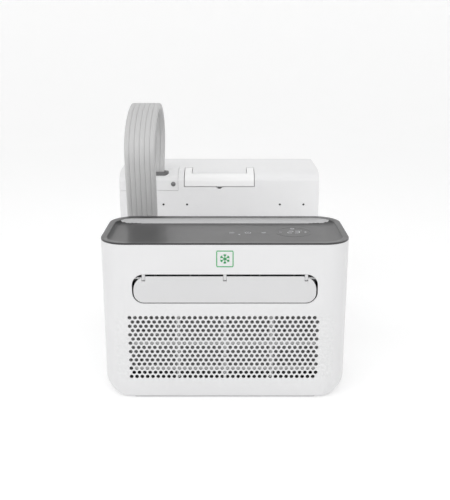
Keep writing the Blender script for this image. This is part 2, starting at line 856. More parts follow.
def make_foot_strips(unit):
    for name, side in (("front_foot_strip", -1), ("rear_foot_strip", 1)):
        size = (FOOT_STRIP_LENGTH, FOOT_STRIP_WIDTH, FOOT_STRIP_HEIGHT - GAP)
        y = side * (INDOOR_DEPTH / 2 - INDOOR_HEEL - FOOT_STRIP_WIDTH)
        foot = box(name, size, (0, y, size[2] / 2))
        finish(foot, unit, rubber(), smooth=False)


# ---------------------------------------------------------------- indoor unit: outlet


def duct_outline(extra):
    """The outlet's outline, grown all round."""
    return rounded_outline(
        OUTLET_WIDTH + 2 * extra, OUTLET_HEIGHT + 2 * extra, OUTLET_CORNER + extra
    )


def vane_bores():
    top = OUTLET_TOP + OUTLET_STEP
    bottom = OUTLET_BOTTOM - OUTLET_STEP
    places = [(x, VANE_Y, z) for x in VANE_XS for z in (top, bottom)]
    return cylinders(
        "vane_bores", VANE_PIN_RADIUS + RUNNING, 2 * OUTLET_FRAME_WALL - 1 * MM, places
    )


def make_outlet_frame(unit):
    """The duct behind the outlet, with the flap's lugs and the bores of the vanes' pins."""
    middle = (FRAME_FRONT + FRAME_REAR) / 2
    frame = front_plate(
        "outlet_frame",
        duct_outline(OUTLET_STEP + OUTLET_FRAME_WALL),
        OUTLET_FRAME_DEPTH,
        middle,
        OUTLET_CENTRE_Z,
    )
    hollow = front_plate(
        "outlet_hollow",
        duct_outline(OUTLET_STEP),
        OUTLET_FRAME_DEPTH + 2 * WALL,
        middle,
        OUTLET_CENTRE_Z,
    )
    cut(frame, hollow)
    lug_top = OUTLET_TOP + OUTLET_STEP + OUTLET_FRAME_WALL / 2
    blocks = []
    for x in (-LUG_SPACING, 0, LUG_SPACING):
        drop = lug_top - HINGE_Z
        place = (x, (FRAME_FRONT + HINGE_Y + LUG_RADIUS) / 2, HINGE_Z + drop / 2)
        blocks.append(((LUG_WIDTH, HINGE_Y + LUG_RADIUS - FRAME_FRONT, drop), place))
    rounds = [(x, HINGE_Y, HINGE_Z) for x in (-LUG_SPACING, 0, LUG_SPACING)]
    join(frame, boxes("lug_blocks", blocks))
    join(frame, cylinders("lug_rounds", HINGE_Y - FRAME_FRONT, LUG_WIDTH, rounds, "X"))
    bore = cylinder(
        "hinge_bore",
        HINGE_ROD_RADIUS + RUNNING,
        OUTLET_WIDTH + 4 * OUTLET_FRAME_WALL,
        (0, HINGE_Y, HINGE_Z),
        "X",
        16,
    )
    cut(frame, bore, vane_bores())
    use_manifold(frame)
    return finish(frame, unit, white_plastic())


def make_louvre_flap(unit):
    """The flap that closes the outlet, turning on a rod near its top edge."""
    width = OUTLET_WIDTH - 2 * FLAP_SIDE_GAP
    height = OUTLET_HEIGHT - FLAP_TOP_GAP - FLAP_BOTTOM_GAP
    middle = FLAP_TOP - height / 2 - HINGE_Z
    flap = front_plate(
        "louvre_flap",
        rounded_outline(
            width,
            height,
            OUTLET_CORNER - FLAP_SIDE_GAP,
            centre=(0, middle),
            upper=FLAP_UPPER_CORNER,
        ),
        FLAP_THICKNESS,
        FRONT + FLAP_THICKNESS / 2,
        HINGE_Z,
    )
    web = boxes(
        "flap_webs",
        [
            (
                (LUG_WIDTH, HINGE_SETBACK - FLAP_THICKNESS / 2, 2 * HINGE_ROD_RADIUS),
                (x, FRONT + (HINGE_SETBACK + FLAP_THICKNESS / 2) / 2, HINGE_Z),
            )
            for x in (-1.4 * LUG_SPACING / 2, -LUG_SPACING / 3, LUG_SPACING / 3, 0.7 * LUG_SPACING)
        ],
    )
    rod_left = -OUTLET_WIDTH / 2 - OUTLET_STEP - OUTLET_FRAME_WALL / 2
    rod_right = OUTLET_WIDTH / 2 + OUTLET_STEP + OUTLET_FRAME_WALL + FLAP_ROD_END - 1 * MM
    rod = cylinder(
        "flap_rod",
        HINGE_ROD_RADIUS,
        rod_right - rod_left,
        ((rod_left + rod_right) / 2, HINGE_Y, HINGE_Z),
        "X",
        16,
    )
    reach = LUG_RADIUS + LUG_ROOM
    notches = boxes(
        "lug_notches",
        [
            (
                (LUG_WIDTH + 2 * LUG_ROOM, 4 * FLAP_THICKNESS, HINGE_DROP + reach + WALL),
                (x, FRONT, HINGE_Z + (HINGE_DROP - reach + WALL) / 2),
            )
            for x in (-LUG_SPACING, 0, LUG_SPACING)
        ],
    )
    cut(flap, notches)
    join(flap, web, rod)
    return finish(flap, unit, white_plastic())


def make_flap_motor(unit):
    """The small geared motor on the right end of the flap's rod; its shaft is off its middle."""
    left = OUTLET_WIDTH / 2 + OUTLET_STEP + OUTLET_FRAME_WALL + GAP
    past_corner = left + FLAP_MOTOR_LENGTH - (INDOOR_WIDTH / 2 - INDOOR_CORNER)
    inner_radius = INDOOR_CORNER - WALL
    dip = inner_radius - math.sqrt(inner_radius**2 - max(0.0, past_corner) ** 2)
    y = FRONT + WALL + dip + GAP + FLAP_MOTOR_RADIUS
    middle = (left + FLAP_MOTOR_LENGTH / 2, y, HINGE_Z)
    motor = cylinder("flap_motor", FLAP_MOTOR_RADIUS, FLAP_MOTOR_LENGTH, middle, "X")
    bore = cylinder(
        "flap_motor_bore",
        HINGE_ROD_RADIUS + RUNNING,
        2 * FLAP_ROD_END,
        (left, HINGE_Y, HINGE_Z),
        "X",
        16,
    )
    cut(motor, bore)
    return finish(motor, unit, steel())


def make_vane(unit, number):
    """One upright vane: a thin plate on two pins, with a small pin for the link."""
    x = VANE_XS[number]
    height = OUTLET_HEIGHT + 2 * OUTLET_STEP - 2 * MM
    depth = VANE_FRONT + VANE_REAR
    vane = box(
        f"vane_{number + 1}",
        (VANE_THICKNESS, depth, height),
        (x, VANE_Y, OUTLET_CENTRE_Z),
    )
    vane.data.transform(Matrix.Translation((0, (VANE_REAR - VANE_FRONT) / 2, 0)))
    notch_front = LINK_ARM - LINK_WIDTH
    notch = span(
        f"vane_{number + 1}_notch",
        (x - WALL, VANE_Y + notch_front, OUTLET_CENTRE_Z - LINK_THICKNESS),
        (x + WALL, VANE_Y + VANE_REAR + WALL, OUTLET_CENTRE_Z + LINK_THICKNESS),
    )
    pivot = cylinder(
        f"vane_{number + 1}_pins",
        VANE_PIN_RADIUS,
        height + 2 * 3 * MM,
        (x, VANE_Y, OUTLET_CENTRE_Z),
        sides=12,
    )
    link_pin = cylinder(
        f"vane_{number + 1}_link_pin",
        LINK_PIN_RADIUS,
        4 * LINK_THICKNESS,
        (x, VANE_Y + LINK_ARM, OUTLET_CENTRE_Z),
        sides=12,
    )
    join(cut(vane, notch), pivot, link_pin)
    return finish(vane, unit, inner_plastic())


def make_vane_link(unit):
    """The bar that turns the vanes together, with a slot round each vane's pin."""
    length = (VANE_COUNT - 1) * VANE_SPACING + 2 * LINK_WIDTH
    y = VANE_Y + LINK_ARM - 1 * MM
    link = box("vane_link", (length, LINK_WIDTH, LINK_THICKNESS), (0, y, OUTLET_CENTRE_Z))
    slots = boxes(
        "link_slots",
        [((*LINK_SLOT, 2 * LINK_THICKNESS), (x, y, OUTLET_CENTRE_Z)) for x in VANE_XS],
    )
    cut(link, slots)
    return finish(link, unit, inner_plastic(), smooth=False)


# ---------------------------------------------------------------- indoor unit: filter


def make_filter_frame(unit):
    """The filter's frame: ribs across its windows and a plain end that fills the casing's slot."""
    left = -2 * RIB_SPACING - FILTER_BORDER - RIB_WIDTH / 2
    frame = span(
        "filter_frame",
        (left, FILTER_Y - FILTER_THICKNESS / 2, FILTER_BASE_Z),
        (INDOOR_WIDTH / 2, FILTER_Y + FILTER_THICKNESS / 2, FILTER_BASE_Z + FILTER_HEIGHT),
    )
    top = FILTER_BASE_Z + FILTER_HEIGHT - FILTER_BORDER
    ribs = [grille_row_z(row) for row in RIB_ROWS]
    edges = [(top, ribs[0] + RIB_DEPTH / 2)]
    edges += [(ribs[0] - RIB_DEPTH / 2, ribs[1] + RIB_DEPTH / 2)]
    edges += [(ribs[1] - RIB_DEPTH / 2, FILTER_BASE_Z + FILTER_BORDER)]
    windows = [
        (
            (RIB_SPACING - RIB_WIDTH, 4 * FILTER_THICKNESS, high - low),
            ((column - 1.5) * RIB_SPACING, FILTER_Y, (high + low) / 2),
        )
        for high, low in edges
        for column in range(4)
    ]
    cut(frame, boxes("filter_windows", windows))
    return finish(frame, unit, filter_plastic(), smooth=False)


def make_filter_mesh(unit):
    front = FILTER_Y + FILTER_THICKNESS / 2 + GAP
    cloth = span(
        "filter_mesh",
        (-2 * RIB_SPACING - RIB_WIDTH / 2, front, FILTER_BASE_Z + FILTER_BORDER / 2),
        (
            2 * RIB_SPACING + RIB_WIDTH / 2,
            front + MESH_THICKNESS,
            FILTER_BASE_Z + FILTER_HEIGHT - FILTER_BORDER / 2,
        ),
    )
    return finish(cloth, unit, mesh_fabric(), smooth=False)


def make_filter_rail(unit, name, edge_z, side):
    """A channel that guides one long edge of the filter; side is +1 above it and -1 below it."""
    front = FILTER_Y - FILTER_THICKNESS / 2 - SEAM_GAP
    rear = front + FILTER_THICKNESS + GAP + MESH_THICKNESS + 2 * SEAM_GAP
    left = -2 * RIB_SPACING - FILTER_BORDER - RIB_WIDTH
    right = INDOOR_WIDTH / 2 - WALL - GAP
    inner = edge_z - side * RAIL_DEPTH
    outer = edge_z + side * (SEAM_GAP + RAIL_WALL)
    rail = span(
        name,
        (left, front - RAIL_WALL, min(inner, outer)),
        (right, rear + RAIL_WALL, max(inner, outer)),
    )
    far = edge_z + side * SEAM_GAP
    near = inner - side * WALL
    groove = span(
        name + "_groove",
        (left - WALL, front, min(near, far)),
        (right + WALL, rear, max(near, far)),
    )
    cut(rail, groove)
    return finish(rail, unit, inner_plastic(), smooth=False)


# ---------------------------------------------------------------- indoor unit: cooling and blower


def make_coil(unit, name, low, high, passes, columns):
    """A finned block with the tubes' return bends standing out of both ends."""
    block = span(name, low, high)
    length = high[0] - low[0]
    pitch = (high[2] - low[2]) / (passes + 0.5)
    depth = high[1] - low[1]
    for column in range(columns):
        y = low[1] + depth * (column + 0.5) / columns
        places = [
            ((low[0] + high[0]) / 2, y, low[2] + pitch * (i + 0.75)) for i in range(passes)
        ]
        tubes = cylinders(
            f"{name}_tubes_{column}", COIL_TUBE_RADIUS, length + 10 * MM, places, "X", 10
        )
        join(block, tubes)
    return finish(block, unit, fin_metal())


def make_evaporator(unit):
    y = FRONT + COIL_SETBACK
    return make_coil(
        unit,
        "evaporator",
        (-COIL_HALF_LENGTH, y, COIL_BASE_Z),
        (COIL_HALF_LENGTH, COIL_REAR, COIL_TOP),
        COIL_PASSES,
        1,
    )


def make_drip_tray(unit):
    """The open tray under the evaporator."""
    reach = COIL_HALF_LENGTH + TRAY_MARGIN
    front = RAIL_REAR + GAP
    rear = COIL_REAR + TRAY_MARGIN
    top = COIL_BASE_Z - GAP
    base = top - TRAY_HEIGHT
    tray = span("drip_tray", (-reach, front, base), (reach, rear, top))
    hollow = span(
        "tray_hollow",
        (-reach + TRAY_WALL, front + TRAY_WALL, base + TRAY_WALL),
        (reach - TRAY_WALL, rear - TRAY_WALL, top + WALL),
    )
    cut(tray, hollow)
    return finish(tray, unit, inner_plastic(), smooth=False)


def make_blower_rotor(unit):
    """The long drum of blades on its shaft, turning about its own length."""
    rotor = cylinder(
        "blower_rotor", SHAFT_RADIUS, 2 * SHAFT_END, (0, ROTOR_Y, ROTOR_Z), "X", 16
    )
    discs = [
        (x, ROTOR_Y, ROTOR_Z)
        for x in (
            -ROTOR_HALF_LENGTH + ROTOR_DISC / 2,
            -ROTOR_HALF_LENGTH / 3,
            ROTOR_HALF_LENGTH / 3,
            ROTOR_HALF_LENGTH - ROTOR_DISC / 2,
        )
    ]
    join(rotor, cylinders("rotor_discs", ROTOR_RADIUS, ROTOR_DISC, discs, "X", 40))
    bm = bmesh.new()
    radius = ROTOR_RADIUS - BLADE_CHORD / 2 - 1 * MM
    for blade in range(ROTOR_BLADES):
        made = bmesh.ops.create_cube(bm, size=1.0)
        size = (2 * ROTOR_HALF_LENGTH - ROTOR_DISC, BLADE_CHORD, BLADE_THICKNESS)
        bmesh.ops.scale(bm, vec=size, verts=made["verts"])
        lean = Matrix.Rotation(math.radians(28), 4, "X")
        around = Matrix.Rotation(2 * math.pi * blade / ROTOR_BLADES, 4, "X")
        move = Matrix.Translation((0, radius, 0))
        bmesh.ops.transform(bm, matrix=around @ move @ lean, verts=made["verts"])
    bmesh.ops.translate(bm, vec=(0, ROTOR_Y, ROTOR_Z), verts=bm.verts)
    join(rotor, object_of("rotor_blades", mesh_of("rotor_blades", bm)))
    return finish(rotor, unit, black_paint(), smooth=False)


def make_end_plate(unit, name, side):
    """The wall at one end of the blower, with a bore round the shaft."""
    inner = side * PLATE_INNER
    outer = side * (PLATE_INNER + END_PLATE)
    plate = span(
        name,
        (min(inner, outer), FRAME_REAR + GAP, FILTER_TOP + SEAM_GAP + RAIL_WALL + GAP),
        (max(inner, outer), ROTOR_Y + ROTOR_RADIUS + 22 * MM, ROTOR_Z + ROTOR_RADIUS + 26 * MM),
    )
    bore = cylinder(
        name + "_bore",
        SHAFT_RADIUS + 3 * RUNNING,
        8 * END_PLATE,
        (inner, ROTOR_Y, ROTOR_Z),
        "X",
        16,
    )
    cut(plate, bore)
    return finish(plate, unit, inner_plastic(), smooth=False)


def make_shaft_bearing(unit):
    length = 8 * MM
    x = -PLATE_INNER - END_PLATE - GAP - length / 2
    bearing = cylinder("shaft_bearing", BEARING_RADIUS, length, (x, ROTOR_Y, ROTOR_Z), "X")
    bore = cylinder(
        "bearing_bore", SHAFT_RADIUS + RUNNING, 3 * length, (x, ROTOR_Y, ROTOR_Z), "X", 16
    )
    cut(bearing, bore)
    return finish(bearing, unit, rubber())


def make_blower_motor(unit):
    x = PLATE_INNER + END_PLATE + GAP
    motor = cylinder(
        "blower_motor", MOTOR_RADIUS, MOTOR_LENGTH, (x + MOTOR_LENGTH / 2, ROTOR_Y, ROTOR_Z), "X", 32
    )
    depth = SHAFT_END - x + 2 * MM
    bore = cylinder(
        "blower_motor_bore", SHAFT_RADIUS + RUNNING, 2 * depth, (x, ROTOR_Y, ROTOR_Z), "X", 16
    )
    cut(motor, bore)
    return finish(motor, unit, steel())


def make_blower_scroll(unit):
    """The guide sheet that opens round the back of the rotor and over it to the outlet."""
    start, stop, steps = math.radians(-100), math.radians(95), 16
    path = []
    for step in range(steps + 1):
        share = step / steps
        radius = ROTOR_RADIUS + SCROLL_START_GAP + SCROLL_GROWTH * share
        angle = start + (stop - start) * share
        path.append((ROTOR_Y + radius * math.cos(angle), ROTOR_Z + radius * math.sin(angle)))
    path.append((FRAME_REAR + 2 * GAP, OUTLET_TOP + OUTLET_STEP + OUTLET_FRAME_WALL / 2))
    scroll = strip("blower_scroll", path, PLATE_INNER - GAP, SCROLL_WALL, 0.0)
    return finish(scroll, unit, inner_plastic())


def make_outlet_tongue(unit):
    """The short sheet between the evaporator and the outlet."""
    path = [
        (FRAME_REAR + 2 * GAP, OUTLET_BOTTOM - OUTLET_STEP - OUTLET_FRAME_WALL / 2),
        (ROTOR_Y - ROTOR_RADIUS - 8 * MM, OUTLET_BOTTOM - 6 * MM),
        (ROTOR_Y - ROTOR_RADIUS - 4 * MM, OUTLET_BOTTOM - 10 * MM),
    ]
    tongue = strip("outlet_tongue", path, PLATE_INNER - GAP, SCROLL_WALL, 0.0)
    return finish(tongue, unit, inner_plastic(), smooth=False)


# ---------------------------------------------------------------- indoor unit: rear


def make_hose_cover(unit):
    """The box on the back of the indoor unit that the hose goes down into."""
    width = HOSE_WIDTH + 2 * COVER_MARGIN
    depth = HOSE_BEHIND + HOSE_THICKNESS / 2 + 2 * COVER_WALL
    front = REAR + GAP
    cover = rounded_block(
        "indoor_hose_cover",
        (width, depth + COVER_CORNER, COVER_HEIGHT),
        (HOSE_X, front + (depth - COVER_CORNER) / 2, COVER_BASE_Z),
        corner=COVER_CORNER,
        bottom=COVER_CORNER / 2,
    )
    keep_inside(
        cover,
        span(
            "cover_region",
            (HOSE_X - width, front, 0),
            (HOSE_X + width, front + 2 * depth, INDOOR_HEIGHT),
        ),
    )
    hollow = span(
        "cover_hollow",
        (HOSE_X - HOSE_WIDTH / 2 - 2 * GAP, front + COVER_WALL, COVER_BASE_Z + 3 * COVER_WALL),
        (
            HOSE_X + HOSE_WIDTH / 2 + 2 * GAP,
            front + depth - COVER_WALL,
            COVER_BASE_Z + 2 * COVER_HEIGHT,
        ),
    )
    cut(cover, hollow)
    return finish(cover, unit, white_plastic())


def make_cord_gland(unit):
    """The gland that the mains lead leaves by."""
    profile = [(radius * MM, height * MM) for radius, height in GLAND_PROFILE]
    place = (INDOOR_WIDTH / 2 - GLAND_SIDE, REAR + GAP, GLAND_HEIGHT)
    gland = turned("cord_gland", profile, place, "Y")
    return finish(gland, unit, rubber())


def make_drain_plug(unit):
    """The plug that empties the indoor unit's tray."""
    profile = [(radius * MM, height * MM) for radius, height in PLUG_PROFILE]
    place = (PLUG_SIDE - INDOOR_WIDTH / 2, REAR + GAP, PLUG_HEIGHT)
    plug = turned("drain_plug", profile, place, "Y")
    return finish(plug, unit, rubber())


# ---------------------------------------------------------------- outdoor unit: casing


def shoulder(inset, start_drop, end_run, steps=10):
    """(y, z) points of the casing's outer line, moved inward: up the front, over the curve, back."""
    points = [(OUT_FRONT + inset, OUTDOOR_HEIGHT - start_drop)]
    run = SHOULDER_RUN - inset
    rise = SHOULDER_RISE - min(inset, SHOULDER_RISE * 0.9)
    middle = (OUT_FRONT + SHOULDER_RUN, OUTDOOR_HEIGHT - inset - rise)
    for step in range(steps + 1):
        angle = step / steps * math.pi / 2
        point = (middle[0] - run * math.cos(angle), middle[1] + rise * math.sin(angle))
        if point[1] > points[0][1] and point[0] < OUT_FRONT + end_run:
            points.append(point)
    points.append((OUT_FRONT + end_run, surface_z(inset, end_run)))
    return points


def surface_z(inset, setback):
    """Height of the casing's outer line, moved inward, at a distance behind the front face."""
    if setback >= SHOULDER_RUN:
        return OUTDOOR_HEIGHT - inset
    run = SHOULDER_RUN - inset
    rise = SHOULDER_RISE - min(inset, SHOULDER_RISE * 0.9)
    share = (SHOULDER_RUN - setback) / run
    return OUTDOOR_HEIGHT - inset - rise * (1 - math.sqrt(max(0.0, 1 - share**2)))


def outdoor_solid(name, inset, base, rear, width):
    """The outdoor unit's outer form, or a smaller one within it."""
    height = OUTDOOR_HEIGHT - base
    line = shoulder(inset, height, rear - OUT_FRONT)
    return side_profile(name, [*line, (rear, base)], width)


def band(name, inset, depth, drop, run, width, middle=0.0):
    """A bent bar that follows the shoulder between two depths below the casing's surface."""
    outer = shoulder(inset, drop, run)
    inner = shoulder(depth, drop, run)
    return side_profile(name, [*outer, *reversed(inner)], width, middle)


def handle_channel(name):
    """The U-shaped room that the handle lies in."""
    width = HANDLE_WIDTH + 2 * HANDLE_GAP
    drop = HANDLE_DROP + HANDLE_GAP
    run = HANDLE_RUN + HANDLE_GAP
    inner = shoulder(HANDLE_DEPTH, drop, run)
    outer = [
        (OUT_FRONT + run, OUTDOOR_HEIGHT + 2 * WALL),
        (OUT_FRONT - 2 * WALL, OUTDOOR_HEIGHT + 2 * WALL),
        (OUT_FRONT - 2 * WALL, OUTDOOR_HEIGHT - drop),
    ]
    channel = side_profile(name, [*reversed(outer), *reversed(inner)], width, HANDLE_X)
    window = HANDLE_WIDTH - 2 * (HANDLE_ARM + HANDLE_GAP)
    tongue = span(
        name + "_tongue",
        (HANDLE_X - window / 2, OUT_FRONT + HANDLE_GRIP_RUN + HANDLE_GAP, OUTDOOR_HEIGHT / 2),
        (HANDLE_X + window / 2, OUT_FRONT + 2 * HANDLE_RUN, OUTDOOR_HEIGHT + 4 * WALL),
    )
    return cut(channel, tongue)


def finger_notch(name):
    """The round scoop below the middle of the grip."""
    z = OUTDOOR_HEIGHT - HANDLE_DROP - HANDLE_GAP + NOTCH_RADIUS - NOTCH_DROP
    return cylinder(name, NOTCH_RADIUS, 2 * NOTCH_DEPTH, (HANDLE_X, OUT_FRONT, z), "Y")


def side_vents():
    count = VENT_COUNT
    places = [
        (side * OUTDOOR_WIDTH / 2, OUT_FRONT + VENT_SETBACK, FAN_Z + (i - (count - 1) / 2) * VENT_PITCH)
        for side in (-1, 1)
        for i in range(count)
    ]
    size = (6 * WALL, VENT_LENGTH, VENT_HEIGHT)
    return boxes("side_vents", [(size, place) for place in places])


def make_outdoor_casing(unit):
    """Front, top and sides in one sheet, open behind and below."""
    casing = outdoor_solid("outdoor_casing", 0.0, OUT_BASE, OUT_REAR, OUTDOOR_WIDTH)
    hollow = outdoor_solid(
        "outdoor_hollow", WALL, OUT_BASE - WALL, OUT_REAR + WALL, OUTDOOR_WIDTH - 2 * WALL
    )
    plate_room = band(
        "plate_room",
        -WALL,
        2 * WALL,
        PLATE_DROP + SEAM_GAP,
        SHOULDER_RUN + PLATE_RUN + SEAM_GAP,
        PLATE_RIGHT - PLATE_LEFT + SEAM_GAP + WALL,
        (PLATE_LEFT + PLATE_RIGHT + SEAM_GAP - WALL) / 2,
    )
    holes = cylinders(
        "bracket_holes",
        BRACKET_HOLE_RADIUS,
        6 * WALL,
        [(x, OUT_FRONT, OUTDOOR_HEIGHT - BRACKET_DROP) for x in BRACKET_HOLES],
        "Y",
        12,
    )
    cut(casing, hollow, plate_room, holes, side_vents())
    cut(casing, handle_channel("casing_channel"), finger_notch("casing_notch"))
    use_manifold(casing)
    return finish(casing, unit, white_plastic())


def make_rear_panel(unit):
    inset = WALL + GAP
    panel = span(
        "outdoor_rear_panel",
        (-OUTDOOR_WIDTH / 2 + inset, OUT_REAR - WALL, PAN_TOP + BASE_LIP),
        (OUTDOOR_WIDTH / 2 - inset, OUT_REAR, OUTDOOR_HEIGHT - inset),
    )
    hole = cylinder(
        "fan_hole", FAN_RADIUS + FAN_CLEARANCE, 6 * WALL, (FAN_X, OUT_REAR, FAN_Z), "Y", 48
    )
    cut(panel, hole)
    return finish(panel, unit, white_plastic())


def make_fan_guard(unit):
    """Rings and spokes over the fan, with a raised cap in the middle."""
    outer = FAN_RADIUS + FAN_CLEARANCE + 8 * MM
    y = OUT_REAR + GAP + GUARD_BAR / 2
    guard = cylinder("fan_guard", outer, GUARD_BAR, (FAN_X, y, FAN_Z), "Y", GUARD_SIDES)
    pitch = (outer - FAN_HUB_RADIUS) / GUARD_RINGS
    for ring in range(GUARD_RINGS):
        inner_radius = FAN_HUB_RADIUS + pitch * ring
        name = f"guard_gap_{ring}"
        place = (FAN_X, y, FAN_Z)
        gap = cylinder(name, inner_radius + pitch - GUARD_BAR, 3 * GUARD_BAR, place, "Y", GUARD_SIDES)
        core = cylinder(name + "_core", inner_radius, 4 * GUARD_BAR, place, "Y", GUARD_SIDES)
        cut(guard, cut(gap, core))
    bm = bmesh.new()
    for spoke in range(GUARD_SPOKES // 2):
        made = bmesh.ops.create_cube(bm, size=1.0)
        bmesh.ops.scale(
            bm, vec=(2 * outer - GUARD_BAR, GUARD_SPOKE, GUARD_SPOKE), verts=made["verts"]
        )
        turn = Matrix.Rotation(math.pi * (spoke + 0.5) / (GUARD_SPOKES // 2), 4, "Y")
        bmesh.ops.transform(bm, matrix=turn, verts=made["verts"])
        spokes = object_of(f"guard_spoke_{spoke}", mesh_of("guard_spoke", bm), (FAN_X, y, FAN_Z))
        join(guard, spokes)
        bm = bmesh.new()
    bm.free()
    cap = cylinder(
        "guard_cap",
        FAN_HUB_RADIUS,
        GUARD_BULGE - GAP,
        (FAN_X, OUT_REAR + GAP + (GUARD_BULGE - GAP) / 2, FAN_Z),
        "Y",
        GUARD_SIDES,
    )
    join(guard, cap)
    return finish(guard, unit, white_plastic(), smooth=False)


def make_base_pan(unit):
    """The tray that carries the machinery."""
    inset = WALL + GAP
    half_x = OUTDOOR_WIDTH / 2 - inset
    front = OUT_FRONT + inset
    pan = span(
        "outdoor_base_pan",
        (-half_x, front, OUT_BASE),
        (half_x, OUT_REAR - GAP, OUT_BASE + BASE_THICKNESS + BASE_LIP),
    )
    hollow = span(
        "pan_hollow",
        (-half_x + WALL, front + WALL, OUT_BASE + BASE_THICKNESS),
        (half_x - WALL, OUT_REAR - GAP - WALL, OUTDOOR_HEIGHT),
    )
    cut(pan, hollow)
    return finish(pan, unit, steel(), smooth=False)


def make_feet(unit):
    for end, along in (("front", -1), ("rear", 1)):
        for hand, across in (("left", -1), ("right", 1)):
            profile = [
                (0, FOOT_HEIGHT),
                (FOOT_RADIUS * 0.8, FOOT_HEIGHT),
                (FOOT_RADIUS, 2 * MM),
                (FOOT_RADIUS, 0),
                (0, 0),
            ]
            place = (
                across * (OUTDOOR_WIDTH / 2 - FOOT_INSET),
                along * (OUTDOOR_DEPTH / 2 - FOOT_INSET),
                0,
            )
            foot = turned(f"foot_{end}_{hand}", profile, place)
            finish(foot, unit, rubber())


def make_drain_nozzle(unit):
    """The short spout that lets water out of the base pan."""
    profile = [
        (0, FOOT_HEIGHT),
        (NOZZLE_FLANGE_RADIUS, FOOT_HEIGHT),
        (NOZZLE_FLANGE_RADIUS, NOZZLE_FLANGE_BOTTOM),
        (NOZZLE_RADIUS, NOZZLE_SHOULDER),
        (NOZZLE_RADIUS, NOZZLE_BOTTOM),
        (0, NOZZLE_BOTTOM),
    ]
    nozzle = turned("drain_nozzle", profile, (OUTDOOR_WIDTH / 4, 0, 0))
    return finish(nozzle, unit, rubber())


# ---------------------------------------------------------------- outdoor unit: handle and hose plate


def make_handle_housing(unit):
    """The pocket under the casing's skin that the handle lies in and turns on."""
    housing = band(
        "handle_housing",
        WALL + GAP,
        HANDLE_DEPTH + HOUSING_WALL,
        HANDLE_DROP + HANDLE_GAP + HOUSING_WALL,
        HANDLE_RUN + HANDLE_GAP + HOUSING_WALL,
        HANDLE_WIDTH + 2 * (HANDLE_GAP + HOUSING_WALL),
        HANDLE_X,
    )
    cut(housing, handle_channel("housing_channel"), finger_notch("housing_notch"))
    bore = cylinder(
        "housing_bore",
        HANDLE_PIN_RADIUS + RUNNING,
        HANDLE_WIDTH + 2 * HANDLE_GAP + HOUSING_WALL,
        (HANDLE_X, HANDLE_PIVOT_Y, HANDLE_PIVOT_Z),
        "X",
        16,
    )
    cut(housing, bore)
    return finish(housing, unit, white_plastic())


def make_carry_handle(unit):
    """The handle: two arms from the pins and a grip that wraps the front edge."""
    handle = band(
        "carry_handle",
        0.0,
        HANDLE_THICKNESS,
        HANDLE_DROP,
        HANDLE_RUN - HANDLE_EYE,
        HANDLE_WIDTH,
        HANDLE_X,
    )
    eye = cylinder(
        "handle_eye",
        HANDLE_EYE,
        HANDLE_WIDTH,
        (HANDLE_X, HANDLE_PIVOT_Y, HANDLE_PIVOT_Z),
        "X",
        20,
    )
    inner = HANDLE_WIDTH / 2 - HANDLE_ARM
    window = span(
        "handle_window",
        (HANDLE_X - inner, OUT_FRONT + HANDLE_GRIP_RUN, OUTDOOR_HEIGHT / 2),
        (HANDLE_X + inner, OUT_FRONT + 2 * HANDLE_RUN, OUTDOOR_HEIGHT + WALL),
    )
    bore = cylinder(
        "handle_bore",
        HANDLE_PIN_RADIUS + RUNNING,
        HANDLE_WIDTH + 2 * WALL,
        (HANDLE_X, HANDLE_PIVOT_Y, HANDLE_PIVOT_Z),
        "X",
        16,
    )
    cut(join(handle, eye), window, bore)
    return finish(handle, unit, white_plastic())


def make_handle_pin(unit, name, side):
    inner = HANDLE_WIDTH / 2 - HANDLE_ARM - HANDLE_GAP - HOUSING_WALL / 3
    outer = HANDLE_WIDTH / 2 + HANDLE_GAP + HOUSING_WALL / 3
    pin = cylinder(
        name,
        HANDLE_PIN_RADIUS,
        outer - inner,
        (HANDLE_X + side * (inner + outer) / 2, HANDLE_PIVOT_Y, HANDLE_PIVOT_Z),
        "X",
        16,
    )
    return finish(pin, unit, steel())


def slot_outline(extra):
    """The hose's outline seen from above, grown all round, as (x, y) points."""
    width = HOSE_WIDTH + 2 * (SLOT_MARGIN + extra)
    height = HOSE_THICKNESS + 2 * (HOSE_ROOM + GROMMET_WALL + extra)
    return rounded_outline(width, height, height / 2 - 0.1 * MM, 5)


def slot_prism(name, extra, low, high):
    middle = (HOSE_LOCAL_X, HOSE_EXIT_Y, (low + high) / 2)
    return outline_plate(name, slot_outline(extra), high - low, middle)


def make_hose_plate(unit):
    """The cover over the casing's front corner that the hose comes up through."""
    plate = band(
        "hose_plate",
        0.0,
        WALL,
        PLATE_DROP,
        SHOULDER_RUN + PLATE_RUN,
        PLATE_RIGHT - PLATE_LEFT,
        (PLATE_LEFT + PLATE_RIGHT) / 2,
    )
    slot = slot_prism("plate_slot", GAP, OUTDOOR_HEIGHT / 2, OUTDOOR_HEIGHT + WALL)
    hole = cylinder(
        "plate_screw_hole", SCREW_SHANK_RADIUS + RUNNING, 8 * WALL, screw_place(), "Y", 16
    )
    cut(plate, slot, hole)
    return finish(plate, unit, white_plastic())


def screw_place():
    return (
        PLATE_RIGHT - SCREW_INSET,
        OUT_FRONT,
        OUTDOOR_HEIGHT - SHOULDER_RISE - 6 * MM,
    )


def make_plate_screw(unit):
    """The screw that holds the hose plate: a domed head and a plain shank."""
    head, shank = SCREW_HEAD_RADIUS, SCREW_SHANK_RADIUS
    profile = [
        (0, SCREW_HEAD_HEIGHT + GAP),
        (head * 0.6, SCREW_HEAD_HEIGHT + GAP),
        (head, SCREW_HEAD_HEIGHT * 0.4 + GAP),
        (head, GAP),
        (shank, GAP),
        (shank, -SCREW_LENGTH),
        (0, -SCREW_LENGTH),
    ]
    screw = turned("plate_screw", profile, screw_place(), "Y", 20)
    screw.rotation_euler = (math.pi / 2, 0, 0)
    return finish(screw, unit, steel())


